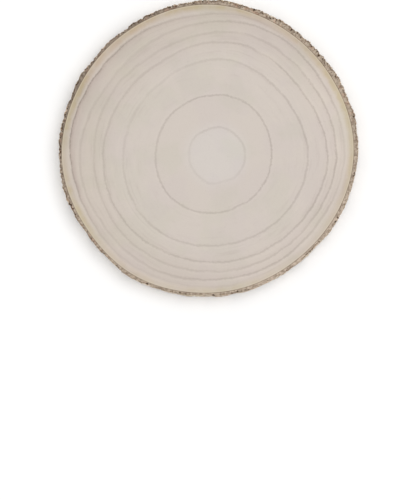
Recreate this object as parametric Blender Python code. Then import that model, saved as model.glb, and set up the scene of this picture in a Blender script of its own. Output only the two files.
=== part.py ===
"""A round slice sawn across a young trunk, with its bark left on, lying on one of its two cut faces.

Metres, +Z up. The slice is one grown piece, so it is one closed solid: the wood reaches out to an uneven,
slightly lobed edge, and the bark goes round it as a thin rough band. The bark's saw cut stands a hair lower
than the wood's on both faces. Its outside has broad lumps, smooth strips that run along the trunk, and sunk
grainy patches between them.
"""

import math

import bmesh
import bpy
from mathutils import Vector, noise

# Driving dimensions, in metres. The mean diameter and the bark's thickness are measured over its smooth strips.
DIAMETER = 0.254
THICKNESS = 0.0216
BARK_THICKNESS = 0.0040

# The wood's edge seen from the pith: order of each wave, its height in metres and a crest's angle in degrees.
# The first wave is how far the pith lies from the middle of the slice.
EDGE_WAVES = (
    (1, 0.0077, 161),
    (2, 0.0009, 17),
    (3, 0.0008, -12),
    (4, 0.0008, -1),
    (5, 0.0002, 25),
    (6, 0.0002, -3),
    (7, 0.0002, -18),
    (8, 0.0002, 7),
)

# The bark is thicker on one side of the trunk: its waves round the pith, given like the edge's
BARK_WAVES = (
    (1, 0.0009, 50),
    (2, 0.0004, 43),
    (3, 0.0003, 43),
)

# The trunk stood a little aslant to the saw, so the lower face lies further out by this much at this angle
LEAN = 0.0008
LEAN_ANGLE = -50

# Where the saw leaves the bark lower than the wood, and how the bark's outer corner is broken
CAMBIUM_WIDTH = 0.0004
BARK_RECESS = 0.0003
CORNER_WIDTH = 0.0006
CORNER_HEIGHT = 0.0008

# Relief on the bark's outside: the size of each kind of feature across the trunk, and how high or deep it is
LUMP_SIZE = 0.017
LUMP_HEIGHT = 0.0011
PATCH_SIZE = 0.012
PATCH_DEPTH = 0.0008
GRAIN_SIZE = 0.0046
GRAIN_HEIGHT = 0.0006

# How wide the smooth strips between the patches are, as a share of the patch pattern's swing
STRIP_EDGE = (0.04, 0.20)

# Lumps and patches are longer along the trunk than across it, by this factor
ALONG_TRUNK = 2.2

# Fineness of the solid
SEGMENTS = 320
WALL_ROWS = 10
SHARP_ANGLE = 40

WOOD_COLOUR = (0.62, 0.55, 0.49, 1.0)
WOOD_ROUGHNESS = 0.75
BARK_COLOUR = (0.33, 0.27, 0.21, 1.0)
BARK_ROUGHNESS = 0.95

MEAN_WOOD_RADIUS = DIAMETER / 2 - BARK_THICKNESS


def clear_scene():
    for old in list(bpy.data.objects):
        bpy.data.objects.remove(old, do_unlink=True)


def plain_material(name, colour, roughness):
    material = bpy.data.materials.new(name)
    material.use_nodes = True
    shader = material.node_tree.nodes["Principled BSDF"]
    shader.inputs["Base Color"].default_value = colour
    shader.inputs["Roughness"].default_value = roughness
    shader.inputs["Metallic"].default_value = 0.0
    return material


def smooth_step(low, high, value):
    share = min(1.0, max(0.0, (value - low) / (high - low)))
    return share * share * (3 - 2 * share)


def wavy(mean, waves, angle):
    """A mean value with its waves round the pith, at an angle."""
    return mean + sum(height * math.cos(order * (angle - math.radians(crest))) for order, height, crest in waves)


def wood_radius(angle):
    """Distance from the pith to the wood's edge."""
    return wavy(MEAN_WOOD_RADIUS, EDGE_WAVES, angle)


def bark_patch(angle, height):
    """1 inside a rough patch, 0 on the smooth strips, which are the lines where the pattern changes sign."""
    pattern = noise.noise(trunk_point(angle, height / ALONG_TRUNK) / PATCH_SIZE)
    return smooth_step(*STRIP_EDGE, abs(pattern))


def trunk_point(angle, height):
    """A point on a plain round trunk, which the bark's pattern is read from."""
    return Vector((MEAN_WOOD_RADIUS * math.cos(angle), MEAN_WOOD_RADIUS * math.sin(angle), height))


def bark_relief(angle, height):
    """How far the bark stands out from its mean surface, at a height above the lower face."""
    lump = noise.noise(trunk_point(angle, height / ALONG_TRUNK) / LUMP_SIZE)
    grain = noise.noise(trunk_point(angle, height) / GRAIN_SIZE)
    patch = bark_patch(angle, height)
    return LUMP_HEIGHT * lump + patch * (GRAIN_HEIGHT * grain - PATCH_DEPTH)


def bark_thickness(angle):
    """The bark's thickness before its relief."""
    return wavy(BARK_THICKNESS, BARK_WAVES, angle)


def bark_radius(angle, height):
    """Distance from the pith to the bark's outside."""
    return wood_radius(angle) + bark_thickness(angle) + bark_relief(angle, height)


def wood_edge(angle, _height):
    return wood_radius(angle)


def bark_inner_edge(angle, _height):
    return wood_radius(angle) + CAMBIUM_WIDTH


def bark_outer_edge(angle, height):
    return bark_radius(angle, height) - CORNER_WIDTH


def profile():
    """Height and radius of each loop, from the lower face's rim round the outside to the upper face's."""
    low = BARK_RECESS
    high = THICKNESS - BARK_RECESS
    first = low + CORNER_HEIGHT
    row_step = (high - CORNER_HEIGHT - first) / (WALL_ROWS - 1)
    wall = [(first + row * row_step, bark_radius) for row in range(WALL_ROWS)]
    lower_rim = [(0.0, wood_edge), (low, bark_inner_edge), (low, bark_outer_edge)]
    upper_rim = [(high, bark_outer_edge), (high, bark_inner_edge), (THICKNESS, wood_edge)]
    return lower_rim + wall + upper_rim


def pith(height):
    """Where the pith passes a height above the lower face."""
    shift = LEAN * (0.5 - height / THICKNESS)
    angle = math.radians(LEAN_ANGLE)
    return Vector((shift * math.cos(angle), shift * math.sin(angle), height))


def loop_points(height, radius):
    points = []
    for step in range(SEGMENTS):
        angle = 2 * math.pi * step / SEGMENTS
        outward = Vector((math.cos(angle), math.sin(angle), 0))
        points.append(pith(height) + outward * radius(angle, height))
    return points


def middle(loops):
    """The middle of the box round the outline, seen from above."""
    xs = [point.x for loop in loops for point in loop]
    ys = [point.y for loop in loops for point in loop]
    return Vector(((min(xs) + max(xs)) / 2, (min(ys) + max(ys)) / 2, 0))


def bridge(bm, lower, upper):
    """A band of bark faces between two loops of corners."""
    for step in range(SEGMENTS):
        after = (step + 1) % SEGMENTS
        face = bm.faces.new((lower[step], lower[after], upper[after], upper[step]))
        face.material_index = 1


def cut_face(bm, rim, centre, upwards):
    """A flat cut face, as a fan of triangles round the pith."""
    heart = bm.verts.new(centre)
    for step in range(SEGMENTS):
        after = (step + 1) % SEGMENTS
        corners = (heart, rim[step], rim[after]) if upwards else (heart, rim[after], rim[step])
        bm.faces.new(corners)


def slice_mesh():
    """The slice as one closed mesh, with its origin under the middle of its outline."""
    loops = [loop_points(height, radius) for height, radius in profile()]
    offset = middle(loops)
    bm = bmesh.new()
    corners = [[bm.verts.new(point - offset) for point in loop] for loop in loops]
    for lower, upper in zip(corners, corners[1:]):
        bridge(bm, lower, upper)
    cut_face(bm, corners[0], pith(0) - offset, upwards=False)
    cut_face(bm, corners[-1], pith(THICKNESS) - offset, upwards=True)
    mesh = bpy.data.meshes.new("wood_slice")
    bm.to_mesh(mesh)
    bm.free()
    return mesh


def wood_slice():
    mesh = slice_mesh()
    mesh.materials.append(plain_material("cut_wood", WOOD_COLOUR, WOOD_ROUGHNESS))
    mesh.materials.append(plain_material("bark", BARK_COLOUR, BARK_ROUGHNESS))
    mesh.shade_smooth()
    mesh.set_sharp_from_angle(angle=math.radians(SHARP_ANGLE))
    piece = bpy.data.objects.new("wood_slice", mesh)
    bpy.context.scene.collection.objects.link(piece)


clear_scene()
wood_slice()
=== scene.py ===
"""A round wood slice with its bark left on, lying on a pale floor in soft studio light.

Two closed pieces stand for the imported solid: the cut wood, with its growth rings on both faces, and the
bark round it. They meet where wood and bark meet on a real slice. Everything is in metres, +Z up, in the
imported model's frame.
"""

import math

import bpy
import numpy as np
from mathutils import Matrix, Vector, noise
from mathutils.bvhtree import BVHTree


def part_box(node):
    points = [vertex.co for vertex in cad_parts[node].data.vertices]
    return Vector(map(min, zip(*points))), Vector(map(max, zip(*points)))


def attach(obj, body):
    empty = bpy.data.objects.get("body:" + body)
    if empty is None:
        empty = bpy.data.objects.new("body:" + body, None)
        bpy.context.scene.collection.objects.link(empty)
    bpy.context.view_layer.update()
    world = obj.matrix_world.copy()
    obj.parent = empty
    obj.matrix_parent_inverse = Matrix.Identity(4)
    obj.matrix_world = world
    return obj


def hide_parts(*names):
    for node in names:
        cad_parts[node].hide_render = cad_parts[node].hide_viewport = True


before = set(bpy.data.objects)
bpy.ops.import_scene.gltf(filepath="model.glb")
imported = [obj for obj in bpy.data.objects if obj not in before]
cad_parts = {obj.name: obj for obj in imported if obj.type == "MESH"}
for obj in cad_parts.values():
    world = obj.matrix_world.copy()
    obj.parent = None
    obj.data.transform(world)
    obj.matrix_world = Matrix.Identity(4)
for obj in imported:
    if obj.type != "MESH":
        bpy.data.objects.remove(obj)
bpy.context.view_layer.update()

LOW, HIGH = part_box("wood_slice")
THICKNESS = HIGH.z - LOW.z

# Where the pith passes mid-height. By the lean, the lower face lies further out than the upper one, towards
# the lean's angle in degrees.
PITH = Vector((0.0061, -0.0039))
LEAN = 0.0008
LEAN_ANGLE = -50

# The ring lines, from the pith outwards: the mean radius in metres and its waves round the pith, each as
# order, height and a crest's angle, and the line's mean darkness with its own waves. Shade is the soft
# darkening on the line's inner side. Angles are in degrees, anticlockwise from +X.
RINGS = (
    dict(
        radius=0.0239, waves=((1, 0.0027, -65), (2, 0.0001, -25), (4, 0.0003, -23), (6, 0.0002, 21)),
        line=0.52, line_waves=((1, 0.17, 62), (3, 0.07, -4)), shade=0.05,
    ),
    dict(
        radius=0.0503, waves=((1, 0.0021, -142), (2, 0.0010, 53), (3, 0.0004, -25), (4, 0.0004, -32)),
        line=1.03, line_waves=((1, 0.10, 6), (3, 0.09, -7)), shade=0.05,
    ),
    dict(
        radius=0.0789,
        waves=((1, 0.0020, -114), (2, 0.0010, 56), (3, 0.0016, -24), (4, 0.0006, -10), (5, 0.0004, 10)),
        line=0.71, line_waves=((1, 0.27, -30), (2, 0.11, 34)), shade=0.15,
    ),
    dict(
        radius=0.0942,
        waves=((1, 0.0017, -123), (2, 0.0011, 25), (3, 0.0015, -30), (4, 0.0010, -5), (5, 0.0006, 4)),
        line=0.88, line_waves=((1, 0.21, -29), (2, 0.14, 33)), shade=0.20,
    ),
    dict(
        radius=0.1026,
        waves=((1, 0.0012, -154), (2, 0.0016, 33), (3, 0.0008, -33), (4, 0.0008, -11), (5, 0.0007, 5)),
        line=0.72, line_waves=((1, 0.28, -14), (2, 0.11, 11)), shade=0.25,
    ),
    dict(
        radius=0.1110,
        waves=((1, 0.0025, 165), (2, 0.0025, 37), (3, 0.0012, -39), (4, 0.0010, -4), (6, 0.0007, 1)),
        line=0.68, line_waves=((1, 0.19, -7), (2, 0.16, 75), (3, 0.19, 55)), shade=0.30,
    ),
    dict(
        radius=0.1177,
        waves=(
            (1, 0.0056, 161), (2, 0.0011, 19), (4, 0.0004, -2),
            (5, 0.0008, 22), (6, 0.0006, 16), (7, 0.0008, 20),
        ),
        line=0.51, line_waves=((1, 0.72, 160), (2, 0.30, -25), (3, 0.16, 45), (4, 0.12, 75)), shade=1.00,
    ),
)

# How far a ring line strays from its waves, and over what length
RING_STRAY = 0.0008
RING_STRAY_SIZE = 0.011

# Stains in the youngest wood, next to the bark: the angle of each one's middle, its half width in degrees,
# how strong its ochre and its rosy tints are, and how much painted shade darkens the wood there, as a
# share. Below zero, that last value paints light instead.
STAINS_AND_EDGE_SHADE = (
    (8, 22, 0.8, 0.0, 0.0),
    (27, 14, 1.4, 0.1, 0.0),
    (27, 5, 0.9, 0.0, 0.0),
    (48, 14, 0.8, 0.5, 0.0),
    (70, 14, 0.2, 0.4, 0.0),
    (90, 16, 1.3, 0.1, 0.027),
    (112, 14, 0.8, 0.3, 0.0),
    (136, 22, 0.6, 1.0, 0.0),
    (162, 12, 1.9, 0.1, 0.045),
    (182, 12, 0.4, 0.3, 0.018),
    (201, 12, 1.5, 0.0, 0.009),
    (226, 20, 0.5, 0.3, -0.027),
    (252, 14, 0.0, 0.0, -0.045),
    (272, 30, 0.8, 0.0, 0.0),
    (345, 20, 0.5, 0.2, 0.0),
)

# Painted light and shade on the outer wood, which is paler or darker round the pith: the angle of each
# part's middle, its half width in degrees, and how much paler it is, as a share, below zero for shade
PAINTED_LIGHT_AND_SHADE = (
    (15, 24, 0.0770),
    (75, 18, -0.0220),
    (195, 16, 0.0308),
    (253, 16, -0.0308),
    (305, 40, 0.0308),
)

# A stain, or a part with painted light and shade, begins and shows in full at these multiples of its
# half width from its middle
PART_FADE = (1.5, 0.3)

# Fineness of the cut wood: steps round the pith, and how near a ring line its side rows lie, in metres and
# at most as shares of the gap to the next line
WOOD_STEPS = 720
LINE_ROWS = (0.0006, 0.0015)
LINE_ROW_SHARES = (0.12, 0.30)

# The wood's slight relief: its grooves along the ring lines, and its broad unevenness, in metres
WOOD_RELIEF = {
    "Groove depth": 0.00012,
    "Groove width": 0.0011,
    "Wave size": 0.02,
    "Wave height": 0.00006,
}

# The saw leaves the bark this much lower than the wood, with a slope this wide between them. The bark's
# hidden side lies a little inside the wood's, so that no gap shows.
BARK_RECESS = 0.0003
CAMBIUM_WIDTH = 0.0004
BARK_OVERLAP = 0.0003

# Fineness of the bark: steps round the rim, rows up its outside, and rows across each sawn rim
BARK_STEPS = 1536
WALL_ROWS = 46
RIM_ROWS = 8

# The solid's broken corners end nearer to the cut faces than this, so the bark's shape is read between them
SOLID_CORNER = 0.0013

# The solid's flat facets are smoothed over this many steps and rows before the fine relief goes on
BLUR_STEPS = 3.0
BLUR_ROWS = 2.0

# The bark's coarse pattern, as in the solid: sunk rough patches with smooth strips between them, along the
# lines where the pattern changes sign
TRUNK_RADIUS = 0.1230
PATCH_SIZE = 0.012
ALONG_TRUNK = 2.2

# Fine clusters break up the patches: how much of them is added to the pattern's swing for the rough patches,
# and to the pattern itself for the dark ones
ROUGH_CLUSTERS = 0.45
DARK_CLUSTERS = 0.70

# The chance that a cell of the bark holds a pit: anywhere, what a rough patch adds times its darkness, and
# the darkness that a plain rough patch starts from
PIT_ODDS = 0.06
PATCH_ODDS = 0.34
PLAIN_DARKNESS = 0.45

# How much wider the gaps between grains are where the bark is dark, as a share of a cell
GAP_WIDENING = 0.16

# How much relief the bark's calm side has, and how much more the lively side has
RELIEF = (0.4, 0.8)

# How chips and gaps crumble the sawn rims, as shares of the chips' depth, and by what power of the way
# outwards the relief grows across a rim
RIM_CRUMBLE = (-0.6, -0.3)
RIM_GROWTH = 1.5

# The bark's fine marks: the size of each kind across the trunk, and how high or deep it is, in metres. The
# bend is how far the marks wander, the fullness is how far the lively side swells, and the seed is how far
# the marks are moved along the trunk.
BARK_MARKS = {
    "Bend size": 0.0036,
    "Bend": 0.0036,
    "Cluster size": 0.0060,
    "Swell size": 0.0070,
    "Swell height": 0.0005,
    "Ridge size": 0.0026,
    "Ridge height": 0.0012,
    "Grain size": 0.0015,
    "Grain height": 0.00040,
    "Gap depth": 0.00045,
    "Pit size": 0.0023,
    "Pit depth": 0.0011,
    "Rib size": 0.0014,
    "Rib height": 0.00020,
    "Chip size": 0.0020,
    "Chip depth": 0.0012,
    "Fullness": 0.0001,
    "Seed": 0.37,
}

# How much closer each kind of mark is along the trunk than across it, and how rough the ragged kinds are
CLOSER_ALONG = {
    "Bend": 0.8,
    "Cluster": 0.6,
    "Swell": 0.8,
    "Ridge": 0.1,
    "Grain": 1.25,
    "Pit": 1.7,
    "Rib": 0.16,
    "Chip": 0.3,
    "Flake": 1.4,
}
RAGGED = 0.6

# Screen colours of the finishes, from 0 to 255
PAINTS = {
    "heart": (200, 192, 185),
    "inner wood": (198, 188, 179),
    "outer wood": (195, 184, 174),
    "pale edge": (201, 190, 168),
    "slope": (116, 97, 80),
    "dark cork": (106, 80, 59),
    "cork": (213, 191, 169),
    "pale cork": (255, 248, 234),
    "dark strip": (192, 173, 154),
    "pale strip": (240, 223, 205),
    # The gaps' and pits' dark paint is partly the bark's own darker fissures and partly painted shade
    "gap": (84, 64, 46),
    "pit": (62, 46, 32),
    "dark rim": (146, 130, 114),
    "pale rim": (190, 174, 156),
    "rim spot": (84, 68, 55),
    "rim line": (90, 74, 61),
}

# Tints of the finishes: the strongest that each gets, and what it multiplies red, green and blue by
TINTS = {
    # Painted shade on the outer wood's darker side
    "painted shade side": (1.0, (0.966, 0.968, 0.955)),
    "lavender": (0.6, (0.978, 0.970, 0.995)),
    "moss": (0.9, (0.968, 0.985, 0.960)),
    "dark streak": (1.0, (0.940, 0.925, 0.930)),
    "pale streak": (1.0, (1.030, 1.028, 1.020)),
    "false ring": (1.0, (0.935, 0.930, 0.925)),
    "wide shade": (0.55, (0.935, 0.908, 0.912)),
    "close shade": (0.45, (0.800, 0.765, 0.760)),
    "ring line": (0.33, (0.525, 0.500, 0.475)),
    "halo": (0.5, (1.030, 1.030, 1.030)),
    "brown edge": (1.0, (0.900, 0.860, 0.780)),
    "ochre stain": (0.8, (0.925, 0.895, 0.730)),
    "rosy stain": (0.8, (0.960, 0.880, 0.840)),
    "rays": (1.0, (0.985, 0.983, 0.981)),
    "pore": (0.5, (0.840, 0.820, 0.800)),
    "dark patch": (0.5, (0.930, 0.890, 0.850)),
    "greenish": (1.0, (0.970, 0.975, 0.880)),
    "dark corner": (1.0, (0.760, 0.690, 0.630)),
    "rusty": (1.0, (1.000, 0.840, 0.720)),
    "inner rim line": (1.0, (0.700, 0.660, 0.620)),
    "reddish": (0.8, (1.020, 0.860, 0.800)),
    "dark rim": (1.0, (0.620, 0.610, 0.610)),
    "pale rim": (1.0, (1.140, 1.140, 1.160)),
}

# Where each mark begins and where it shows in full, by what the comment over it says
FADES = {
    # Metres outwards from the pith
    "inner wood": (0.018, 0.034),
    "outer wood": (0.075, 0.112),
    # Painted shade on the outer wood's darker side
    "painted shade side": (0.070, 0.110),
    # The painted light and shade on the outer wood
    "painted light and shade": (0.080, 0.108),
    "streaks": (0.035, 0.095),
    # Metres away from a ring line
    "wide shade": (0.0100, 0.0020),
    "close shade": (0.0035, 0.0),
    "halo start": (0.0008, 0.0016),
    "halo end": (0.0032, 0.0018),
    # Shares of the way from a ring line to the next
    "inside the next line": (0.2, 0.6),
    "outside the line": (0.5, 0.3),
    # Shares of the way from a false ring to the next
    "false ring start": (0.84, 0.94),
    "false ring end": (1.00, 0.97),
    # Values of the streaks along the rings
    "dark streak": (0.52, 0.74),
    "pale streak": (0.46, 0.28),
    "unbroken line": (0.1, 0.5),
    # Metres inwards from the wood's edge
    "stain": (0.0065, 0.0008),
    "rosy stain": (0.0080, 0.0030),
    # Painted shade near the wood's edge, and painted light where its amount is below zero
    "painted edge shade": (0.0080, 0.0040),
    "pale edge start": (0.0009, 0.0004),
    "pale edge end": (-0.0001, 0.0002),
    "slope": (0.0, -0.0003),
    # Metres from the bark's sawn rims
    "chipped rim": (0.0016, 0.0),
    "dark corner": (0.0022, 0.0002),
    # Shares of a sawn rim's width, from the wood outwards
    "inner rim line": (0.22, 0.06),
    "rim spot": (0.15, 0.75),
    "rim line": (0.62, 0.90),
    # Values of the bark's patterns, and distances from the middle of a cell, in cells
    "rough": (0.24, 0.36),
    "dark": (0.42, 0.64),
    "chip": (0.48, 0.64),
    "grain": (0.55, 0.10),
    "gap": (0.61, 0.72),
    "pit": (0.46, 0.30),
    "pit chance": (0.0, 0.03),
    # Tones of the bark, from 0 to 1
    "cork": (0.22, 0.42),
    "pale cork": (0.47, 0.64),
    "pale strip": (0.2, 0.8),
}

# Sides of the trunk: an angle in degrees, and how near to it each begins and shows in full. Nearness is 1
# at the angle and -1 opposite it, so a side that shows in full at the lower value lies away from its angle.
SIDES = {
    # Painted shade: the outer wood is darker towards this angle
    "painted shade side": (150, 0.0, 0.9),
    "brown edge": (240, 0.9, 0.0),
    "lively bark": (300, 0.9, -0.2),
    "dark rim": (140, 0.45, 0.97),
    "pale rim": (308, 0.7, 1.0),
}

# Soft patterns of the finishes: the size of their features in metres, how much closer they are on each
# axis, how fine and how rough their noise is, and between which of its values they fade in. The ones without
# a size follow the rings: their features are counted by the radian round the pith and the metre outwards.
PATTERNS = {
    "lavender": dict(size=0.030, fade=(0.48, 0.60)),
    "moss": dict(size=0.035, stretch=(1, 1, 2), detail=3.0, fade=(0.47, 0.60)),
    "false rings": dict(stretch=(1.6, 1.6, 160.0), detail=1.0, fade=(0.52, 0.66)),
    "stains": dict(size=0.008, detail=3.0, rough=0.6, fade=(0.30, 0.62)),
    "rays": dict(stretch=(90.0, 90.0, 90.0), fade=(0.45, 0.85)),
    "specks": dict(size=0.0008, rough=0.7, fade=(0.32, 0.68)),
    "greenish": dict(size=0.014, detail=3.0, fade=(0.54, 0.70)),
    "rusty": dict(size=0.007, stretch=(1, 1, 0.6), fade=(0.64, 0.72)),
    "flecks": dict(size=0.0022, detail=3.0, rough=0.6, fade=(0.34, 0.64)),
    "broken line": dict(size=0.0024, fade=(0.40, 0.54)),
    "reddish": dict(size=0.0045, fade=(0.56, 0.66)),
}

# Dots of the finishes: the size of the cells they lie in, in metres, how near its middle a dot fades in,
# and between which of the cells' random numbers
DOTS = {
    "pores": dict(size=0.0009, near=(0.32, 0.12), chance=(0.45, 0.50)),
    "rim spots": dict(size=0.0019, near=(0.50, 0.30), chance=(0.36, 0.30)),
}

# Soft noise that doesn't fade, in the same terms
CLOUDS = {
    "streaks": dict(stretch=(3.2, 3.2, 330.0), detail=3.0, rough=0.6),
    "waver": dict(size=0.0016),
    "fibres": dict(size=0.0004, detail=3.0, rough=0.6),
    "dust": dict(size=0.0004, detail=3.0, rough=0.7),
}

# Faint false rings: how many there are to a real one, and how far the streaks move them
FALSE_RINGS = 3.0
FALSE_RING_STRAY = 0.5

# A ring line in the finish: how far its edge reaches, how much less where the line is darkest, how wide its
# core is, and how far its edge wavers at most, in metres
LINE_REACH = 0.0020
LINE_NARROWING = 0.0007
LINE_CORE = 0.0002
LINE_WAVER = 0.0012

# Stains are patchy and the edge is brown, each by at least the first share and at most by both together
STAIN_PATCHES = (0.35, 0.65)
BROWN_EDGE = (0.22, 0.30)

# How strong the pale line at the wood's edge, the gaps' paint and the rims' outer line are
PALE_EDGE = 0.5
# The gaps' paint is partly painted shade
GAP_PAINT = 0.9
RIM_LINE = 0.85

# Relief for the finishes alone, too fine for the mesh: its depths in metres, and in the wood how far fibres
# stand up and how far pores and ring lines lie deeper, as shares of the depth
WOOD_GRAIN_DEPTH = 0.00006
BARK_GRAIN_DEPTH = 0.00025
WOOD_GRAIN = (0.5, -1.0, -0.5)

# The bark's tones: the shares of its grains, flakes and specks where it is corky, and of its flakes and
# specks on its smooth strips. The size of the flakes is in metres.
CORK_TONE = (0.30, 0.45, 0.25)
STRIP_TONE = (0.6, 0.4)
FLAKE_SIZE = 0.0010

WOOD_ROUGHNESS = 0.70
BARK_ROUGHNESS = 0.92
BARK_SPECULAR = 0.15


# Small helpers

def smooth_step(low, high, value):
    share = np.clip((value - low) / (high - low), 0, 1)
    return share * share * (3 - 2 * share)


def paint(name):
    """A named screen colour as a linear RGBA value."""
    channels = np.array(PAINTS[name]) / 255
    flat = np.where(channels <= 0.04045, channels / 12.92, ((channels + 0.055) / 1.055) ** 2.4)
    return (*(float(value) for value in flat), 1.0)


def turn(steps):
    """Angles of equal steps round a full turn."""
    return np.arange(steps) * 2 * math.pi / steps


def around(angles):
    """Unit vectors that point away from the pith."""
    return np.column_stack([np.cos(angles), np.sin(angles), np.zeros(len(angles))])


def blurred(values, sigma, axis, closed):
    """Values smoothed along one axis, which meets itself if it is closed."""
    reach = int(math.ceil(3 * sigma))
    weights = np.exp(-0.5 * (np.arange(-reach, reach + 1) / sigma) ** 2)
    weights /= weights.sum()
    padding = [(0, 0)] * values.ndim
    padding[axis] = (reach, reach)
    padded = np.pad(values, padding, mode="wrap" if closed else "edge")
    return np.apply_along_axis(lambda line: np.convolve(line, weights, mode="valid"), axis, padded)


# Mesh building

def grid_faces(rows, columns, closed_rows=False):
    """Quads between neighbouring rows of a grid that closes on itself round its columns."""
    last = rows if closed_rows else rows - 1
    row = np.arange(last)[:, None]
    column = np.arange(columns)[None, :]
    after = (column + 1) % columns
    above = (row + 1) % rows
    corners = [(row, column), (row, after), (above, after), (above, column)]
    return np.stack([level * columns + step for level, step in corners], axis=-1).reshape(-1, 4).tolist()


def new_piece(name, points, faces, material):
    mesh = bpy.data.meshes.new(name)
    mesh.from_pydata(np.asarray(points).tolist(), [], faces)
    mesh.materials.append(material)
    mesh.shade_smooth()
    mesh.update()
    piece = bpy.data.objects.new(name, mesh)
    bpy.context.scene.collection.objects.link(piece)
    return piece


def store(mesh, name, values):
    """A number or a vector for each corner point of the mesh, under a name that nodes can read."""
    values = np.asarray(values, dtype=np.float32)
    if values.ndim == 1:
        mesh.attributes.new(name, "FLOAT", "POINT").data.foreach_set("value", values)
    else:
        mesh.attributes.new(name, "FLOAT_VECTOR", "POINT").data.foreach_set("vector", values.ravel())


def store_layout(mesh, corners):
    """A flat layout of the faces, which don't overlap in it, for what reads the finish off the piece."""
    layer = mesh.uv_layers.new(name="OFBake")
    layer.data.foreach_set("uv", np.asarray(corners, dtype=np.float32).ravel())


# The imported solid, read along rays towards the pith

def solid_tree():
    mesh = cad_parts["wood_slice"].data
    corners = [vertex.co.copy() for vertex in mesh.vertices]
    triangles = [tuple(face.vertices) for face in mesh.polygons]
    return BVHTree.FromPolygons(corners, triangles)


def pith_at(height):
    """Where the pith passes a height above the lower face."""
    shift = LEAN * (0.5 - height / THICKNESS)
    angle = math.radians(LEAN_ANGLE)
    return Vector((PITH.x + shift * math.cos(angle), PITH.y + shift * math.sin(angle), LOW.z + height))


def radii_at(solid, height, angles):
    """Distance from the pith to the solid's outside at one height, for each angle."""
    pith = pith_at(height)
    start = HIGH.x - LOW.x
    radii = []
    for outward in around(angles):
        hit = solid.ray_cast(pith + Vector(outward) * start, -Vector(outward))[0]
        radii.append((hit - pith).length)
    return np.array(radii)


def wood_edge(solid, angles, upwards):
    """The wood's edge on one cut face, read a hair inside the face."""
    hair = 1e-5
    height = THICKNESS - hair if upwards else hair
    return radii_at(solid, height, angles)


# Nodes, for shapes and finishes alike

def add(tree, kind, settings=None, **inputs):
    """A node with its settings and its inputs, each set to a value or linked."""
    made = tree.nodes.new(kind)
    for name, value in (settings or {}).items():
        setattr(made, name, value)
    for name, value in inputs.items():
        fill(tree, made.inputs[name.replace("_", " ")], value)
    return made


def fill(tree, socket, value):
    if isinstance(value, bpy.types.NodeSocket):
        tree.links.new(value, socket)
    else:
        socket.default_value = value


def maths(tree, operation, *values):
    made = add(tree, "ShaderNodeMath", {"operation": operation})
    for socket, value in zip(made.inputs, values):
        fill(tree, socket, value)
    return made.outputs[0]


def product(tree, *values):
    result = values[0]
    for value in values[1:]:
        result = maths(tree, "MULTIPLY", result, value)
    return result


def total(tree, *values):
    result = values[0]
    for value in values[1:]:
        result = maths(tree, "ADD", result, value)
    return result


def weighed(tree, values, weights):
    """The sum of the values, each times its weight."""
    return total(tree, *(product(tree, value, weight) for value, weight in zip(values, weights)))


def vectors(tree, operation, first, second):
    made = add(tree, "ShaderNodeVectorMath", {"operation": operation})
    fill(tree, made.inputs[0], first)
    fill(tree, made.inputs["Scale" if operation == "SCALE" else 1], second)
    return made.outputs["Vector"]


def at_least(tree, share, least, more):
    """The least, and more on top of it as far as the share goes."""
    return maths(tree, "MULTIPLY_ADD", share, more, least)


def between(tree, value, low, high):
    """0 at low and 1 at high, with soft ends. High may be under low."""
    made = add(
        tree, "ShaderNodeMapRange", {"interpolation_type": "SMOOTHSTEP"},
        Value=value, From_Min=low, From_Max=high,
    )
    return made.outputs["Result"]


def blend(tree, share, first, second, way="MIX"):
    made = add(tree, "ShaderNodeMix", {"data_type": "RGBA", "blend_type": way})
    for socket, value in zip((made.inputs[0], made.inputs[6], made.inputs[7]), (share, first, second)):
        fill(tree, socket, value)
    return made.outputs[2]


def tint(tree, colour, name, *shares):
    """The colour with a named tint on it, as far as all the shares go."""
    strongest, factor = TINTS[name]
    return blend(tree, product(tree, *shares, strongest), colour, (*factor, 1.0), "MULTIPLY")


def fade(tree, value, name):
    """0 where a named mark begins, and 1 where it shows in full."""
    return between(tree, value, *FADES[name])


def thin_mark(tree, value, name):
    """1 in the middle of a named thin mark, and 0 on both sides of it."""
    return product(tree, fade(tree, value, name + " start"), fade(tree, value, name + " end"))


def spread(tree, place, size, stretch):
    """The place counted in features of a size, which the stretch divides on each axis."""
    stretched = vectors(tree, "MULTIPLY", place, stretch)
    return vectors(tree, "SCALE", stretched, maths(tree, "DIVIDE", 1.0, size))


def noise_node(tree, place, size, stretch, detail, rough):
    spot = spread(tree, place, size, stretch)
    return add(tree, "ShaderNodeTexNoise", None, Vector=spot, Scale=1.0, Detail=detail, Roughness=rough)


def cloud(tree, place, size=1.0, stretch=(1, 1, 1), detail=2.0, rough=0.5):
    """Soft noise round 0.5, with features of a size."""
    return noise_node(tree, place, size, stretch, detail, rough).outputs[0]


def centred(tree, noise_value):
    """Noise that swings round 0, from -1 to 1."""
    return maths(tree, "MULTIPLY_ADD", noise_value, 2.0, -1.0)


def pattern(tree, place, name):
    """A named soft pattern, from 0 to 1."""
    settings = dict(PATTERNS[name])
    low, high = settings.pop("fade")
    return between(tree, cloud(tree, place, **settings), low, high)


def cells(tree, place, size, stretch=(1, 1, 1)):
    """Scattered spots: the distance from the nearest one, in cells, and a random number for each."""
    made = add(tree, "ShaderNodeTexVoronoi", None, Vector=spread(tree, place, size, stretch), Scale=1.0)
    chance = add(tree, "ShaderNodeSeparateXYZ", None, Vector=made.outputs["Color"])
    return made.outputs["Distance"], chance.outputs[0]


def dots(tree, place, name):
    """Named scattered dots, from 0 to 1."""
    settings = DOTS[name]
    distance, chance = cells(tree, place, settings["size"])
    near = between(tree, distance, *settings["near"])
    return product(tree, near, between(tree, chance, *settings["chance"]))


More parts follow.
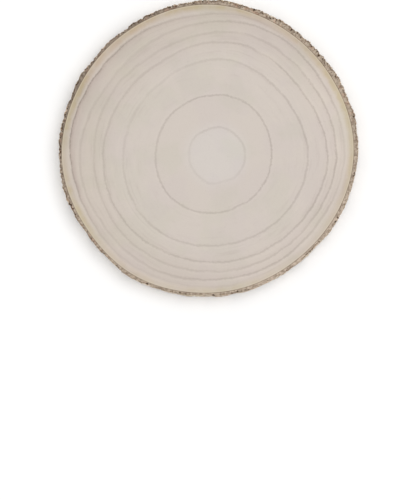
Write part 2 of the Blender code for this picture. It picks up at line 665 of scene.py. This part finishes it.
def nearness(tree, spoke, angle):
    """1 where the spoke, a unit vector from the pith, points to an angle in degrees, and -1 opposite."""
    parts = add(tree, "ShaderNodeSeparateXYZ", None, Vector=spoke).outputs
    turned = math.radians(angle)
    return total(tree, product(tree, parts[0], math.cos(turned)), product(tree, parts[1], math.sin(turned)))


def on_side(tree, spoke, name):
    """0 to 1 as the spoke turns to a named side of the trunk."""
    angle, low, high = SIDES[name]
    return between(tree, nearness(tree, spoke, angle), low, high)


def stored(tree, name, vector=False):
    """A value that is stored on the mesh."""
    if tree.type == "GEOMETRY":
        kind = "FLOAT_VECTOR" if vector else "FLOAT"
        return add(tree, "GeometryNodeInputNamedAttribute", {"data_type": kind}, Name=name).outputs[0]
    made = add(tree, "ShaderNodeAttribute", {"attribute_name": name})
    return made.outputs["Vector" if vector else "Fac"]


def finish_of(name, roughness):
    """A new material, its tree and its shader."""
    material = bpy.data.materials.new(name)
    material.use_nodes = True
    shader = material.node_tree.nodes["Principled BSDF"]
    shader.inputs["Roughness"].default_value = roughness
    return material, material.node_tree, shader


def emboss(tree, shader, height, depth):
    """Fine relief that is too small for the mesh."""
    made = add(tree, "ShaderNodeBump", None, Height=height, Distance=depth, Strength=1.0)
    tree.links.new(made.outputs[0], shader.inputs["Normal"])


# Shapes by Geometry Nodes

def shape_tree(name, sizes):
    """A tree with a mesh in and out and the named sizes, what gives them inside it, and its end."""
    tree = bpy.data.node_groups.new(name, "GeometryNodeTree")
    tree.interface.new_socket("Mesh", in_out="INPUT", socket_type="NodeSocketGeometry")
    tree.interface.new_socket("Mesh", in_out="OUTPUT", socket_type="NodeSocketGeometry")
    for label, value in sizes.items():
        socket = tree.interface.new_socket(label, in_out="INPUT", socket_type="NodeSocketFloat")
        socket.default_value = value
    tree.interface.new_socket("Finish", in_out="INPUT", socket_type="NodeSocketMaterial")
    given = tree.nodes.new("NodeGroupInput").outputs
    end = tree.nodes.new("NodeGroupOutput").inputs[0]
    return tree, given, end


def close_tree(tree, given, shape, end):
    """Ends the tree with one real mesh in its finish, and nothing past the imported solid's box."""
    real = add(tree, "GeometryNodeRealizeInstances", None, Geometry=shape).outputs[0]
    place = add(tree, "GeometryNodeInputPosition").outputs[0]
    inside = vectors(tree, "MINIMUM", vectors(tree, "MAXIMUM", place, tuple(LOW)), tuple(HIGH))
    boxed = add(tree, "GeometryNodeSetPosition", None, Geometry=real, Position=inside).outputs[0]
    finished = add(tree, "GeometryNodeSetMaterial", None, Geometry=boxed, Material=given["Finish"])
    tree.links.new(finished.outputs[0], end)


def reshape(piece, tree, finish):
    """Gives the piece the mesh that the tree makes of it, as a plain mesh."""
    modifier = piece.modifiers.new(tree.name, "NODES")
    modifier.node_group = tree
    for item in tree.interface.items_tree:
        if item.in_out == "INPUT" and item.name == "Finish":
            modifier[item.identifier] = finish
    depsgraph = bpy.context.evaluated_depsgraph_get()
    mesh = bpy.data.meshes.new_from_object(piece.evaluated_get(depsgraph))
    piece.modifiers.remove(modifier)
    plain = piece.data
    piece.data = mesh
    bpy.data.meshes.remove(plain)
    mesh.name = piece.name


# The cut wood

def wavy(mean, waves, angles):
    """A mean value with its waves round the pith, for each angle."""
    values = np.full(len(angles), float(mean))
    for order, height, crest in waves:
        values += height * np.cos(order * (angles - math.radians(crest)))
    return values


def ring_radii(ring, angles):
    """The ring line's distance from the pith, for each angle."""
    radii = wavy(ring["radius"], ring["waves"], angles)
    strays = [noise.noise(Vector(outward) * ring["radius"] / RING_STRAY_SIZE) for outward in around(angles)]
    return radii + RING_STRAY * np.array(strays)


def ring_darkness(ring, angles):
    """How dark the ring line is, for each angle."""
    return np.maximum(0, wavy(ring["line"], ring["line_waves"], angles))


def by_side(table, angles):
    """For each angle, the sum of what the table's rows give round their middles."""
    sums = np.zeros((len(table[0]) - 2, len(angles)))
    for middle, half_width, *amounts in table:
        away = np.abs((np.degrees(angles) - middle + 180) % 360 - 180)
        gone, full = (half_width * multiple for multiple in PART_FADE)
        sums += np.outer(amounts, smooth_step(gone, full, away))
    return sums


def face_rows(angles, edge):
    """One cut face from the pith to its edge, as rows of values for each angle."""
    steps = len(angles)
    lines = [np.zeros(steps)] + [ring_radii(ring, angles) for ring in RINGS] + [edge]
    means = [0.0] + [ring["radius"] for ring in RINGS] + [TRUNK_RADIUS]
    darks = [np.zeros(steps)] + [ring_darkness(ring, angles) for ring in RINGS] + [np.zeros(steps)]
    shades = [0.0] + [ring["shade"] for ring in RINGS] + [0.0]
    rows = []
    for inner in range(len(lines) - 1):
        outer = inner + 1
        gap = lines[outer] - lines[inner]
        close = [np.minimum(side, gap * part) for side, part in zip(LINE_ROWS, LINE_ROW_SHARES)]
        for offset in (close[0], close[1], gap / 2, gap - close[1], gap - close[0], gap):
            share = offset / gap
            nearest = inner if share[0] < 0.5 else outer
            radii = lines[inner] + offset
            rows.append(dict(
                radius=radii,
                growth=inner + share,
                mean=means[inner] * (1 - share) + means[outer] * share,
                line_distance=np.minimum(offset, gap - offset),
                line_darkness=darks[nearest],
                inner_shade=shades[outer] * darks[outer],
                edge_distance=edge - radii,
            ))
    return rows


def wood_side(solid, angles, upwards):
    """The rows of one cut face and of the slope down to the bark, with their points."""
    edge = wood_edge(solid, angles, upwards)
    pith = np.array(pith_at(THICKNESS if upwards else 0.0))
    outward = around(angles)
    rows = face_rows(angles, edge)
    for row in rows:
        row["point"] = pith + outward * row["radius"][:, None]
    slope = dict(rows[-1])
    drop = np.array((0, 0, -BARK_RECESS if upwards else BARK_RECESS))
    slope["point"] = pith + outward * (edge + CAMBIUM_WIDTH)[:, None] + drop
    slope["edge_distance"] = np.full(len(angles), -CAMBIUM_WIDTH)
    return rows + [slope]


def wood_layout(faces, points, lower_rows):
    """The two cut faces, as seen from above, in opposite corners, and the hidden side as a strip."""
    upper_middle, upper_reach = 0.350, 0.345
    lower_middle, lower_reach = 0.765, 0.230
    strip_low, strip_high, strip_length = 0.950, 0.960, 0.450
    reach = max(HIGH.x - LOW.x, HIGH.y - LOW.y) / 2
    corners = []
    for index, face in enumerate(faces):
        row = index // WOOD_STEPS
        if row == lower_rows - 1:
            column = index % WOOD_STEPS
            left, right = (strip_length * step / WOOD_STEPS for step in (column, column + 1))
            corners += [(left, strip_low), (right, strip_low), (right, strip_high), (left, strip_high)]
            continue
        below = points[face[0]][2] < THICKNESS / 2
        middle, extent = (lower_middle, lower_reach) if below else (upper_middle, upper_reach)
        corners += [
            (middle + extent * points[corner][0] / reach, middle + extent * points[corner][1] / reach)
            for corner in face
        ]
    return corners


def wood_shape():
    """Sanded end grain in relief: the hard ring lines worn a hair lower, and a slight unevenness."""
    tree, given, end = shape_tree("wood_relief", WOOD_RELIEF)
    line = between(tree, stored(tree, "line_distance"), given["Groove width"], 0.0)
    groove = product(tree, line, stored(tree, "line_darkness"), given["Groove depth"])
    wave = cloud(tree, stored(tree, "position_at_rest", vector=True), given["Wave size"])
    swell = product(tree, wave, given["Wave height"])
    sink = product(tree, total(tree, groove, swell), stored(tree, "face"))
    offset = add(tree, "ShaderNodeCombineXYZ", None, Z=product(tree, sink, -1.0))
    moved = add(tree, "GeometryNodeSetPosition", None, Geometry=given["Mesh"], Offset=offset.outputs[0])
    close_tree(tree, given, moved.outputs[0], end)
    return tree


def wood_faces(loop_count, low_pith, high_pith):
    """The quads between the wood's loops, and a fan round the pith on each cut face."""
    last = (loop_count - 1) * WOOD_STEPS
    steps = [(step, (step + 1) % WOOD_STEPS) for step in range(WOOD_STEPS)]
    low_fan = [[low_pith, after, step] for step, after in steps]
    high_fan = [[high_pith, last + step, last + after] for step, after in steps]
    return grid_faces(loop_count, WOOD_STEPS) + low_fan + high_fan


def store_growth(mesh, loops, angles):
    """What the wood's relief and finish read at each corner. The two piths come last."""
    at_pith = dict(
        growth=0.0, line_distance=RINGS[0]["radius"], line_darkness=0.0, inner_shade=0.0,
        edge_distance=TRUNK_RADIUS,
    )
    for name, value in at_pith.items():
        store(mesh, name, np.concatenate([row[name] for row in loops] + [[value, value]]))
    places = [np.column_stack([around(angles)[:, :2], row["mean"]]) for row in loops]
    store(mesh, "ring_place", np.concatenate(places + [np.zeros((2, 3))]))
    # The stains, the painted shade by the wood's edge, and the painted light and shade of the outer wood
    amounts = (*by_side(STAINS_AND_EDGE_SHADE, angles), *by_side(PAINTED_LIGHT_AND_SHADE, angles))
    for name, values in zip(("ochre", "rose", "darker", "paler"), amounts):
        store(mesh, name, np.append(np.tile(values, len(loops)), [0, 0]))
    slope_rows = np.array([row["edge_distance"][0] < 0 for row in loops])
    upwards = np.array([row["point"][0][2] > THICKNESS / 2 for row in loops])
    face_signs = np.where(slope_rows, 0.0, np.where(upwards, 1.0, -1.0))
    store(mesh, "face", np.append(np.repeat(face_signs, WOOD_STEPS), [-1, 1]))


def wood_blank(solid, finish):
    """The cut wood before its relief, as a closed mesh from one pith to the other."""
    angles = turn(WOOD_STEPS)
    lower = wood_side(solid, angles, upwards=False)
    upper = wood_side(solid, angles, upwards=True)
    loops = lower + upper[::-1]
    piths = [np.array(pith_at(0.0)), np.array(pith_at(THICKNESS))]
    points = np.concatenate([row["point"] for row in loops] + [piths])
    faces = wood_faces(len(loops), len(points) - 2, len(points) - 1)
    piece = new_piece("cut_wood", points, faces, finish)
    store_layout(piece.data, wood_layout(faces, points, len(lower)))
    store_growth(piece.data, loops, angles)
    store(piece.data, "position_at_rest", points)
    return piece


def make_wood(solid):
    finish = wood_finish()
    piece = wood_blank(solid, finish)
    reshape(piece, wood_shape(), finish)
    return piece


def wood_ground(tree, place, ring_place, radius):
    """The wood's broad colour from the pith to the bark, with faint clouds in it."""
    colour = blend(tree, fade(tree, radius, "inner wood"), paint("heart"), paint("inner wood"))
    colour = blend(tree, fade(tree, radius, "outer wood"), colour, paint("outer wood"))
    # Painted shade: the outer wood is darker on the side towards 150 degrees
    painted_shade_side = on_side(tree, ring_place, "painted shade side")
    colour = tint(tree, colour, "painted shade side", painted_shade_side, fade(tree, radius, "painted shade side"))
    # Painted light and shade: the outer wood is paler on some sides and darker on others
    paler = product(tree, stored(tree, "paler"), fade(tree, radius, "painted light and shade"))
    colour = vectors(tree, "SCALE", colour, maths(tree, "ADD", 1.0, paler))
    for cloudy in ("lavender", "moss"):
        colour = tint(tree, colour, cloudy, pattern(tree, place, cloudy))
    return colour


def wood_streaks(tree, colour, streak, ring_place, radius, growth):
    """Streaks along the rings, stronger outwards, and faint false rings that come and go."""
    outwards = fade(tree, radius, "streaks")
    for name in ("dark streak", "pale streak"):
        colour = tint(tree, colour, name, fade(tree, streak, name), outwards)
    stray = product(tree, streak, FALSE_RING_STRAY)
    phase = maths(tree, "FRACT", maths(tree, "MULTIPLY_ADD", growth, FALSE_RINGS, stray))
    shown = pattern(tree, ring_place, "false rings")
    return tint(tree, colour, "false ring", thin_mark(tree, phase, "false ring"), shown, outwards)


def ring_lines(tree, colour, streak, place, growth):
    """Ring lines, with the wood just inside each a little darker and just outside a little paler."""
    darkness = stored(tree, "line_darkness")
    waver = centred(tree, cloud(tree, place, **CLOUDS["waver"]))
    distance = maths(tree, "MULTIPLY_ADD", waver, LINE_WAVER, stored(tree, "line_distance"))
    way_out = maths(tree, "FRACT", growth)
    inside = product(tree, fade(tree, way_out, "inside the next line"), stored(tree, "inner_shade"))
    for shade in ("wide shade", "close shade"):
        colour = tint(tree, colour, shade, inside, fade(tree, distance, shade))
    strength = product(tree, darkness, fade(tree, streak, "unbroken line"))
    reach = maths(tree, "MULTIPLY_ADD", darkness, -LINE_NARROWING, LINE_REACH)
    line = product(tree, between(tree, distance, reach, LINE_CORE), strength)
    colour = tint(tree, colour, "ring line", line)
    outside = fade(tree, way_out, "outside the line")
    return tint(tree, colour, "halo", thin_mark(tree, distance, "halo"), strength, outside), line


def wood_stains_and_edge_shade(tree, colour, place, ring_place):
    """Stains and painted shade in the youngest wood, its thin pale edge, and the dark slope beyond it."""
    edge_distance = stored(tree, "edge_distance")
    patchy = at_least(tree, pattern(tree, place, "stains"), *STAIN_PATCHES)
    band = fade(tree, edge_distance, "stain")
    browner = at_least(tree, on_side(tree, ring_place, "brown edge"), *BROWN_EDGE)
    colour = tint(tree, colour, "brown edge", band, browner)
    colour = tint(tree, colour, "ochre stain", stored(tree, "ochre"), band, patchy)
    rosy_band = fade(tree, edge_distance, "rosy stain")
    colour = tint(tree, colour, "rosy stain", stored(tree, "rose"), rosy_band, patchy)
    # Painted shade by the wood's edge on some sides. Where its amount is below zero, it paints light.
    darker = product(tree, stored(tree, "darker"), fade(tree, edge_distance, "painted edge shade"))
    colour = vectors(tree, "SCALE", colour, maths(tree, "SUBTRACT", 1.0, darker))
    pale = product(tree, thin_mark(tree, edge_distance, "pale edge"), PALE_EDGE)
    colour = blend(tree, pale, colour, paint("pale edge"))
    return blend(tree, fade(tree, edge_distance, "slope"), colour, paint("slope"))


def wood_grain(tree, shader, colour, place, ring_place, line):
    """Rays, pores and fibres, too fine for the mesh."""
    colour = tint(tree, colour, "rays", pattern(tree, ring_place, "rays"))
    pore = dots(tree, place, "pores")
    fibre = cloud(tree, place, **CLOUDS["fibres"])
    emboss(tree, shader, weighed(tree, (fibre, pore, line), WOOD_GRAIN), WOOD_GRAIN_DEPTH)
    return tint(tree, colour, "pore", pore)


def wood_finish():
    """Sanded end grain: pale and rosy grey, with grey ring lines, faint streaks and stains."""
    material, tree, shader = finish_of("cut_wood", WOOD_ROUGHNESS)
    place = add(tree, "ShaderNodeTexCoord").outputs["Object"]
    ring_place = stored(tree, "ring_place", vector=True)
    radius = add(tree, "ShaderNodeSeparateXYZ", None, Vector=ring_place).outputs[2]
    growth = stored(tree, "growth")
    streak = cloud(tree, ring_place, **CLOUDS["streaks"])
    colour = wood_ground(tree, place, ring_place, radius)
    colour = wood_streaks(tree, colour, streak, ring_place, radius, growth)
    colour, line = ring_lines(tree, colour, streak, place, growth)
    colour = wood_stains_and_edge_shade(tree, colour, place, ring_place)
    colour = wood_grain(tree, shader, colour, place, ring_place, line)
    tree.links.new(colour, shader.inputs["Base Color"])
    return material


# The bark

def coarse_pattern(angle, height):
    """The bark's coarse pattern. It passes through zero along the middle of each smooth strip."""
    place = Vector((TRUNK_RADIUS * math.cos(angle), TRUNK_RADIUS * math.sin(angle), height / ALONG_TRUNK))
    return noise.noise(place / PATCH_SIZE)


def bark_profile(solid, angles):
    """The bark's cross-section as rows: up the outside, and across both sawn rims."""
    low, high = BARK_RECESS, THICKNESS - BARK_RECESS
    heights = np.linspace(low, high, WALL_ROWS)
    read_heights = np.clip(heights, SOLID_CORNER, THICKNESS - SOLID_CORNER)
    wall = np.array([radii_at(solid, height, angles) for height in read_heights])
    wall = blurred(blurred(wall, BLUR_STEPS, 1, closed=True), BLUR_ROWS, 0, closed=False)
    rims = []
    for upwards, height, outer in ((False, low, wall[0]), (True, high, wall[-1])):
        inner = wood_edge(solid, angles, upwards) + CAMBIUM_WIDTH - BARK_OVERLAP
        side = 1.0 if upwards else -1.0
        rims.append([
            dict(height=height, radii=inner * (1 - share) + outer * share, share=share, sawn=1.0, side=side)
            for share in np.arange(RIM_ROWS) / RIM_ROWS
        ])
    middle = THICKNESS / 2
    outside = [
        dict(height=height, radii=radii, share=1.0, sawn=0.0, side=(height - middle) / middle)
        for height, radii in zip(heights, wall)
    ]
    return rims[0] + outside + rims[1][::-1]


def bark_layout(profile):
    """The bark unrolled into strips, one above the other, its hidden side pressed into a thin line."""
    strips, margin, hidden = 5, 0.004, 0.05
    lengths = [0.0]
    for row, after in zip(profile, profile[1:]):
        rise = abs(after["height"] - row["height"])
        lengths.append(lengths[-1] + rise + abs(float(np.mean(after["radii"] - row["radii"]))))
    places = [length / lengths[-1] * (1 - hidden) for length in lengths] + [1.0]
    column = np.arange(BARK_STEPS)
    strip = column * strips // BARK_STEPS
    left = column * strips / BARK_STEPS - strip
    right = (column + 1) * strips / BARK_STEPS - strip
    corners = np.zeros((len(profile), BARK_STEPS, 4, 2))
    for row in range(len(profile)):
        low, high = ((strip + margin + (1 - 2 * margin) * places[row + side]) / strips for side in (0, 1))
        for corner, (u, v) in enumerate(((left, low), (right, low), (right, high), (left, high))):
            corners[row, :, corner, 0] = margin + (1 - 2 * margin) * u
            corners[row, :, corner, 1] = v
    return corners


def bark_blank(solid, finish):
    """The bark as a plain closed band, with what its relief needs stored at each point."""
    angles = turn(BARK_STEPS)
    outward = around(angles)
    profile = bark_profile(solid, angles)
    points = [np.array(pith_at(row["height"])) + outward * row["radii"][:, None] for row in profile]
    piece = new_piece(
        "bark", np.concatenate(points), grid_faces(len(profile), BARK_STEPS, closed_rows=True), finish,
    )
    mesh = piece.data
    store_layout(mesh, bark_layout(profile))
    read_at = [outward * TRUNK_RADIUS + np.array((0, 0, row["height"])) for row in profile]
    store(mesh, "outward", np.tile(outward, (len(profile), 1)))
    store(mesh, "trunk_place", np.concatenate(read_at))
    for name in ("share", "sawn", "side"):
        store(mesh, name, np.repeat([row[name] for row in profile], BARK_STEPS))
    rim_distance = [min(row["height"], THICKNESS - row["height"]) - BARK_RECESS for row in profile]
    store(mesh, "rim_distance", np.repeat(rim_distance, BARK_STEPS))
    store(mesh, "coarse", [coarse_pattern(angle, row["height"]) for row in profile for angle in angles])
    return piece


def along(kind):
    """How a kind of mark is stretched in the bark."""
    return (1, 1, CLOSER_ALONG[kind])


def bark_marks(tree, sizes):
    """The marks of the outer bark, each from 0 to 1, alike in its shape and in its finish."""
    seed = add(tree, "ShaderNodeCombineXYZ", None, Z=sizes["Seed"]).outputs[0]
    place = vectors(tree, "ADD", stored(tree, "trunk_place", vector=True), seed)
    wander = noise_node(tree, place, sizes["Bend size"], along("Bend"), detail=3.0, rough=0.7)
    bend = vectors(tree, "SUBTRACT", wander.outputs["Color"], (0.5, 0.5, 0.5))
    place = vectors(tree, "ADD", place, vectors(tree, "SCALE", bend, sizes["Bend"]))

    # Where the bark is rough, and in which of its patches it is dark and deeply pitted
    coarse = stored(tree, "coarse")
    swing = maths(tree, "ABSOLUTE", coarse)
    cluster = cloud(tree, place, sizes["Cluster size"], along("Cluster"), rough=RAGGED)
    rough = fade(tree, maths(tree, "MULTIPLY_ADD", cluster, ROUGH_CLUSTERS, swing), "rough")
    dark = fade(tree, maths(tree, "MULTIPLY_ADD", cluster, DARK_CLUSTERS, coarse), "dark")

    # Grains with gaps between them, which are wider where the bark is dark, and pits
    grain_distance, grain_chance = cells(tree, place, sizes["Grain size"], along("Grain"))
    opening = maths(tree, "MULTIPLY_ADD", dark, GAP_WIDENING, grain_distance)
    pit_distance, pit_chance = cells(tree, place, sizes["Pit size"], along("Pit"))
    darkness = product(tree, rough, maths(tree, "ADD", dark, PLAIN_DARKNESS))
    odds = maths(tree, "MULTIPLY_ADD", darkness, PATCH_ODDS, PIT_ODDS)
    chosen = fade(tree, maths(tree, "SUBTRACT", odds, pit_chance), "pit chance")
    chip = cloud(tree, place, sizes["Chip size"], along("Chip"), rough=RAGGED)
    return {
        "rough": rough,
        "dark": dark,
        "grain": product(tree, fade(tree, grain_distance, "grain"), rough),
        "chance": grain_chance,
        "gap": product(tree, fade(tree, opening, "gap"), rough),
        "pit": product(tree, fade(tree, pit_distance, "pit"), chosen),
        "rib": cloud(tree, place, sizes["Rib size"], along("Rib")),
        "swell": cloud(tree, place, sizes["Swell size"], along("Swell")),
        "ridge": cloud(tree, place, sizes["Ridge size"], along("Ridge"), rough=RAGGED),
        "chip": fade(tree, chip, "chip"),
    }


def bark_shape():
    """The bark's relief: grains, gaps and pits in its rough patches, ribs on its strips, chipped rims."""
    tree, given, end = shape_tree("bark_relief", BARK_MARKS)
    marks = bark_marks(tree, given)
    outward = stored(tree, "outward", vector=True)
    share = stored(tree, "share")
    lively = at_least(tree, on_side(tree, outward, "lively bark"), *RELIEF)
    near_rim = fade(tree, stored(tree, "rim_distance"), "chipped rim")
    chip = product(tree, marks["chip"], near_rim, lively)
    rib = product(tree, centred(tree, marks["rib"]), maths(tree, "SUBTRACT", 1.0, marks["rough"]))
    height = total(
        tree,
        product(tree, centred(tree, marks["swell"]), given["Swell height"]),
        product(tree, centred(tree, marks["ridge"]), given["Ridge height"], lively),
        product(tree, marks["grain"], given["Grain height"]),
        product(tree, rib, given["Rib height"]),
        product(tree, marks["gap"], given["Gap depth"], -1.0),
        product(tree, marks["pit"], given["Pit depth"], -1.0),
        product(tree, chip, given["Chip depth"], -1.0),
        product(tree, lively, given["Fullness"]),
    )
    grown = product(tree, height, maths(tree, "POWER", share, RIM_GROWTH))
    sideways = vectors(tree, "SCALE", outward, grown)
    crumble = weighed(tree, (chip, marks["gap"]), RIM_CRUMBLE)
    upwards = product(tree, share, near_rim, stored(tree, "side"), crumble, given["Chip depth"])
    lift = add(tree, "ShaderNodeCombineXYZ", None, Z=upwards).outputs[0]
    offset = vectors(tree, "ADD", sideways, lift)
    moved = add(tree, "GeometryNodeSetPosition", None, Geometry=given["Mesh"], Offset=offset)
    close_tree(tree, given, moved.outputs[0], end)
    return tree


def weathered_bark(tree, trunk_place, speck):
    """The bark's outside: grains and fine flakes, each in its own tone, and dark gaps and pits."""
    marks = bark_marks(tree, BARK_MARKS)
    flake = cells(tree, trunk_place, FLAKE_SIZE, along("Flake"))[1]
    tone = weighed(tree, (marks["chance"], flake, speck), CORK_TONE)
    corky = blend(tree, fade(tree, tone, "cork"), paint("dark cork"), paint("cork"))
    corky = blend(tree, fade(tree, tone, "pale cork"), corky, paint("pale cork"))
    smooth_tone = weighed(tree, (flake, speck), STRIP_TONE)
    smooth = blend(tree, fade(tree, smooth_tone, "pale strip"), paint("dark strip"), paint("pale strip"))
    colour = blend(tree, marks["rough"], smooth, corky)
    colour = tint(tree, colour, "dark patch", marks["dark"], marks["rough"])
    # Gaps and pits painted dark: partly the bark's own darker fissures, partly painted shade in them
    colour = blend(tree, product(tree, marks["gap"], GAP_PAINT), colour, paint("gap"))
    colour = blend(tree, marks["pit"], colour, paint("pit"))
    colour = tint(tree, colour, "greenish", pattern(tree, trunk_place, "greenish"))
    colour = tint(tree, colour, "dark corner", fade(tree, stored(tree, "rim_distance"), "dark corner"))
    return tint(tree, colour, "rusty", pattern(tree, trunk_place, "rusty"))


def sawn_rim(tree, place, outward):
    """The sawn rims: a dark line against the wood, then tan, with dark spots and a broken line outside."""
    share = stored(tree, "share")
    lively = on_side(tree, outward, "lively bark")
    rim = blend(tree, pattern(tree, place, "flecks"), paint("dark rim"), paint("pale rim"))
    spot = product(tree, dots(tree, place, "rim spots"), lively, fade(tree, share, "rim spot"))
    rim = blend(tree, spot, rim, paint("rim spot"))
    broken = pattern(tree, place, "broken line")
    line = product(tree, fade(tree, share, "rim line"), broken, lively, RIM_LINE)
    rim = blend(tree, line, rim, paint("rim line"))
    rim = tint(tree, rim, "inner rim line", fade(tree, share, "inner rim line"))
    rim = tint(tree, rim, "reddish", pattern(tree, place, "reddish"), lively)
    for side in ("dark rim", "pale rim"):
        rim = tint(tree, rim, side, on_side(tree, outward, side))
    return rim


def bark_finish():
    """Dry bark: grey-brown with pale corky grains and dark gaps and pits, tan where it is sawn."""
    material, tree, shader = finish_of("bark", BARK_ROUGHNESS)
    shader.inputs["Specular IOR Level"].default_value = BARK_SPECULAR
    place = add(tree, "ShaderNodeTexCoord").outputs["Object"]
    trunk_place = stored(tree, "trunk_place", vector=True)
    speck = pattern(tree, trunk_place, "specks")
    outside = weathered_bark(tree, trunk_place, speck)
    rim = sawn_rim(tree, place, stored(tree, "outward", vector=True))
    colour = blend(tree, stored(tree, "sawn"), outside, rim)
    tree.links.new(colour, shader.inputs["Base Color"])
    dust = cloud(tree, trunk_place, **CLOUDS["dust"])
    emboss(tree, shader, total(tree, speck, dust), BARK_GRAIN_DEPTH)
    return material


def make_bark(solid):
    finish = bark_finish()
    piece = bark_blank(solid, finish)
    reshape(piece, bark_shape(), finish)
    return piece


# Floor, light and camera

# The picture's size, and the pith's place in it, in pixels
PICTURE_SIZE = (409, 500)
PITH_PIXEL = (215.5, 152.5)

# The camera: its lens and sensor in millimetres, how far from the pith it stands and how far it sees, in
# metres, and by how many degrees it is tilted off the face, and towards which angle
LENS = 150.0
SENSOR = 36.0
CAMERA_DISTANCE = 1.7853
CAMERA_LIMIT = 100.0
CAMERA_TILT = 3.0
CAMERA_TOWARDS = -75.0

FLOOR_REACH = 10.0
FLOOR_COLOUR = (0.97, 0.97, 0.97, 1.0)
FLOOR_ROUGHNESS = 0.9

# The lamp's size and place are in metres, and its power in watts
SKY_STRENGTH = 0.80
LAMP_SIZE = 1.5
LAMP_POWER = 18.0
LAMP_PLACE = (0.45, 0.20, 2.1)


def make_floor():
    """A wide, pale and matt floor at the height of the lower cut face."""
    mesh = bpy.data.meshes.new("floor")
    corners = [(x * FLOOR_REACH, y * FLOOR_REACH, LOW.z) for x, y in ((-1, -1), (1, -1), (1, 1), (-1, 1))]
    mesh.from_pydata(corners, [], [(0, 1, 2, 3)])
    material, _tree, shader = finish_of("floor", FLOOR_ROUGHNESS)
    shader.inputs["Base Color"].default_value = FLOOR_COLOUR
    shader.inputs["Specular IOR Level"].default_value = 0.0
    mesh.materials.append(material)
    floor = bpy.data.objects.new("floor", mesh)
    bpy.context.scene.collection.objects.link(floor)


def make_light():
    """A white sky, and a large lamp overhead, a little to the right."""
    world = bpy.data.worlds.new("studio")
    world.use_nodes = True
    sky = world.node_tree.nodes["Background"]
    sky.inputs["Color"].default_value = (1.0, 1.0, 1.0, 1.0)
    sky.inputs["Strength"].default_value = SKY_STRENGTH
    bpy.context.scene.world = world
    lamp = bpy.data.lights.new("lamp", "AREA")
    lamp.shape = "SQUARE"
    lamp.size = LAMP_SIZE
    lamp.energy = LAMP_POWER
    holder = bpy.data.objects.new("lamp", lamp)
    holder.location = LAMP_PLACE
    holder.rotation_mode = "QUATERNION"
    holder.rotation_quaternion = (-holder.location).to_track_quat("-Z", "Y")
    bpy.context.scene.collection.objects.link(holder)


def make_camera():
    """A long lens over the slice, a little off square to its face, with the pith at its picture place."""
    tilt, towards = math.radians(CAMERA_TILT), math.radians(CAMERA_TOWARDS)
    back = Vector((math.sin(tilt) * math.cos(towards), math.sin(tilt) * math.sin(towards), math.cos(tilt)))
    right = Vector((0, 1, 0)).cross(back).normalized()
    turned = Matrix((right, back.cross(right), back)).transposed().to_4x4()
    focal = LENS / SENSOR * max(PICTURE_SIZE)
    across, down = (math.atan((pixel - side / 2) / focal) for pixel, side in zip(PITH_PIXEL, PICTURE_SIZE))
    swing = Matrix.Rotation(across, 4, "Y") @ Matrix.Rotation(down, 4, "X")
    camera = bpy.data.cameras.new("camera")
    camera.lens = LENS
    camera.sensor_width = SENSOR
    camera.clip_end = CAMERA_LIMIT
    holder = bpy.data.objects.new("camera", camera)
    place = Matrix.Translation(pith_at(THICKNESS) + back * CAMERA_DISTANCE)
    holder.matrix_world = place @ turned @ swing
    bpy.context.scene.collection.objects.link(holder)
    bpy.context.scene.camera = holder


solid = solid_tree()
for piece in (make_wood(solid), make_bark(solid)):
    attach(piece, "root")
    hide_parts("wood_slice")
make_floor()
make_light()
make_camera()
bpy.context.scene.view_settings.view_transform = "Standard"
